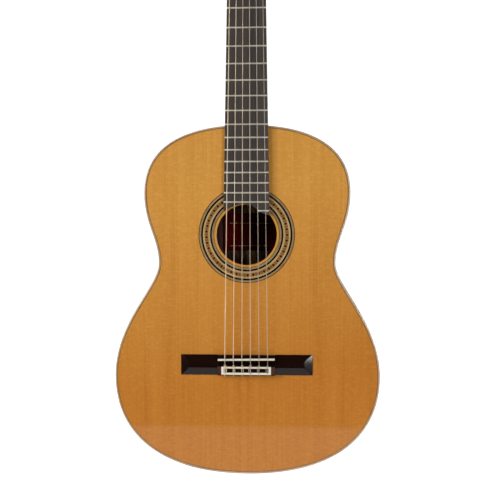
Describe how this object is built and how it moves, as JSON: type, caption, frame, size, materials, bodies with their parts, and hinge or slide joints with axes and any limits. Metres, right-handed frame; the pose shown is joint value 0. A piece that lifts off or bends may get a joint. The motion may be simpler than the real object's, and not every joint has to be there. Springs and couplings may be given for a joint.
{
  "type": "classical guitar",
  "caption": "Classical guitar with a hollow waisted body, round soundhole with a mosaic ring, fretted neck, tie bridge, nylon and wound strings, and a slotted head with worm-geared tuners.",
  "frame": {"origin": "centre of the end graft's outer face, at the tail of the body", "axes": "+Z from the tail along the strings to the head, -Y out of the soundboard, +X towards the treble strings"},
  "size_m": [0.3702, 0.1094, 0.9896],
  "materials": {
    "soundboard_cedar": "gloss lacquer",
    "body_rosewood": "gloss lacquer",
    "binding_maple": "gloss lacquer",
    "neck_mahogany": "satin lacquer",
    "bracing_spruce": "bare",
    "rosette_mosaic": "gloss lacquer",
    "fretboard_ebony": "satin, with nickel silver frets",
    "bridge_rosewood": "gloss",
    "bone": "polished bone",
    "label_paper": "blank paper",
    "tuner_metal": "gilt",
    "tuner_button": "pearl",
    "string_nylon": "clear nylon",
    "string_wound": "silver-plated winding"
  },
  "bodies": {
    "guitar": {"soundboard": "soundboard_cedar", "soundhole_patch": "bracing_spruce", "back": "body_rosewood", "rib_bass": "body_rosewood", "rib_treble": "body_rosewood", "end_graft": "body_rosewood", "binding_top": "binding_maple", "binding_back": "binding_maple", "lining_top_bass": "bracing_spruce", "lining_top_treble": "bracing_spruce", "lining_back_bass": "bracing_spruce", "lining_back_treble": "bracing_spruce", "tail_block": "neck_mahogany", "harmonic_bar_lower": "bracing_spruce", "harmonic_bar_upper": "bracing_spruce", "back_brace_lower": "neck_mahogany", "back_brace_middle": "neck_mahogany", "back_brace_upper": "neck_mahogany", "back_centre_strip": "bracing_spruce", "label": "label_paper", "rosette": "rosette_mosaic", "neck": "neck_mahogany", "heel_cap": "body_rosewood", "head": "neck_mahogany", "head_veneer": "body_rosewood", "fretboard": "fretboard_ebony", "nut": "bone", "saddle": "bone", "tie_block_trim": "bone", "bridge": "bridge_rosewood", "tuner_plate_bass": "tuner_metal", "tuner_plate_treble": "tuner_metal", "fan_brace_1": "bracing_spruce", "fan_brace_2": "bracing_spruce", "fan_brace_3": "bracing_spruce", "fan_brace_4": "bracing_spruce", "fan_brace_5": "bracing_spruce", "fan_brace_6": "bracing_spruce", "fan_brace_7": "bracing_spruce", "string_1": "string_nylon", "string_2": "string_nylon", "string_3": "string_nylon", "string_4": "string_wound", "string_5": "string_wound", "string_6": "string_wound"},
    "tuner_1": {"worm_and_button_1": "tuner_button"},
    "capstan_1": {"roller_1": "tuner_metal"},
    "tuner_2": {"worm_and_button_2": "tuner_button"},
    "capstan_2": {"roller_2": "tuner_metal"},
    "tuner_3": {"worm_and_button_3": "tuner_button"},
    "capstan_3": {"roller_3": "tuner_metal"},
    "tuner_4": {"worm_and_button_4": "tuner_button"},
    "capstan_4": {"roller_4": "tuner_metal"},
    "tuner_5": {"worm_and_button_5": "tuner_button"},
    "capstan_5": {"roller_5": "tuner_metal"},
    "tuner_6": {"worm_and_button_6": "tuner_button"},
    "capstan_6": {"roller_6": "tuner_metal"}
  },
  "joints": [
    {"name": "tuner_1_turn", "type": "hinge", "parent": "guitar", "child": "tuner_1", "pos_m": [0.041, -0.0311, 0.85109], "axis": [0, -0.9659, 0.2588], "continuous": true},
    {"name": "capstan_1_turn", "type": "hinge", "parent": "guitar", "child": "capstan_1", "pos_m": [0, -0.02885, 0.85949], "axis": [1, 0, 0], "continuous": true},
    {"name": "tuner_2_turn", "type": "hinge", "parent": "guitar", "child": "tuner_2", "pos_m": [0.041, -0.02204, 0.8849], "axis": [0, -0.9659, 0.2588], "continuous": true},
    {"name": "capstan_2_turn", "type": "hinge", "parent": "guitar", "child": "capstan_2", "pos_m": [0, -0.01979, 0.8933], "axis": [1, 0, 0], "continuous": true},
    {"name": "tuner_3_turn", "type": "hinge", "parent": "guitar", "child": "tuner_3", "pos_m": [0.041, -0.01298, 0.9187], "axis": [0, -0.9659, 0.2588], "continuous": true},
    {"name": "capstan_3_turn", "type": "hinge", "parent": "guitar", "child": "capstan_3", "pos_m": [0, -0.01073, 0.92711], "axis": [1, 0, 0], "continuous": true},
    {"name": "tuner_4_turn", "type": "hinge", "parent": "guitar", "child": "tuner_4", "pos_m": [-0.041, -0.01298, 0.9187], "axis": [0, -0.9659, 0.2588], "continuous": true},
    {"name": "capstan_4_turn", "type": "hinge", "parent": "guitar", "child": "capstan_4", "pos_m": [0, -0.01073, 0.92711], "axis": [1, 0, 0], "continuous": true},
    {"name": "tuner_5_turn", "type": "hinge", "parent": "guitar", "child": "tuner_5", "pos_m": [-0.041, -0.02204, 0.8849], "axis": [0, -0.9659, 0.2588], "continuous": true},
    {"name": "capstan_5_turn", "type": "hinge", "parent": "guitar", "child": "capstan_5", "pos_m": [0, -0.01979, 0.8933], "axis": [1, 0, 0], "continuous": true},
    {"name": "tuner_6_turn", "type": "hinge", "parent": "guitar", "child": "tuner_6", "pos_m": [-0.041, -0.0311, 0.85109], "axis": [0, -0.9659, 0.2588], "continuous": true},
    {"name": "capstan_6_turn", "type": "hinge", "parent": "guitar", "child": "capstan_6", "pos_m": [0, -0.02885, 0.85949], "axis": [1, 0, 0], "continuous": true}
  ],
  "couplings": [
    {"joint": "capstan_1_turn", "follows": "tuner_1_turn", "ratio": 0.071429},
    {"joint": "capstan_2_turn", "follows": "tuner_2_turn", "ratio": 0.071429},
    {"joint": "capstan_3_turn", "follows": "tuner_3_turn", "ratio": 0.071429},
    {"joint": "capstan_4_turn", "follows": "tuner_4_turn", "ratio": 0.071429},
    {"joint": "capstan_5_turn", "follows": "tuner_5_turn", "ratio": 0.071429},
    {"joint": "capstan_6_turn", "follows": "tuner_6_turn", "ratio": 0.071429}
  ]
}
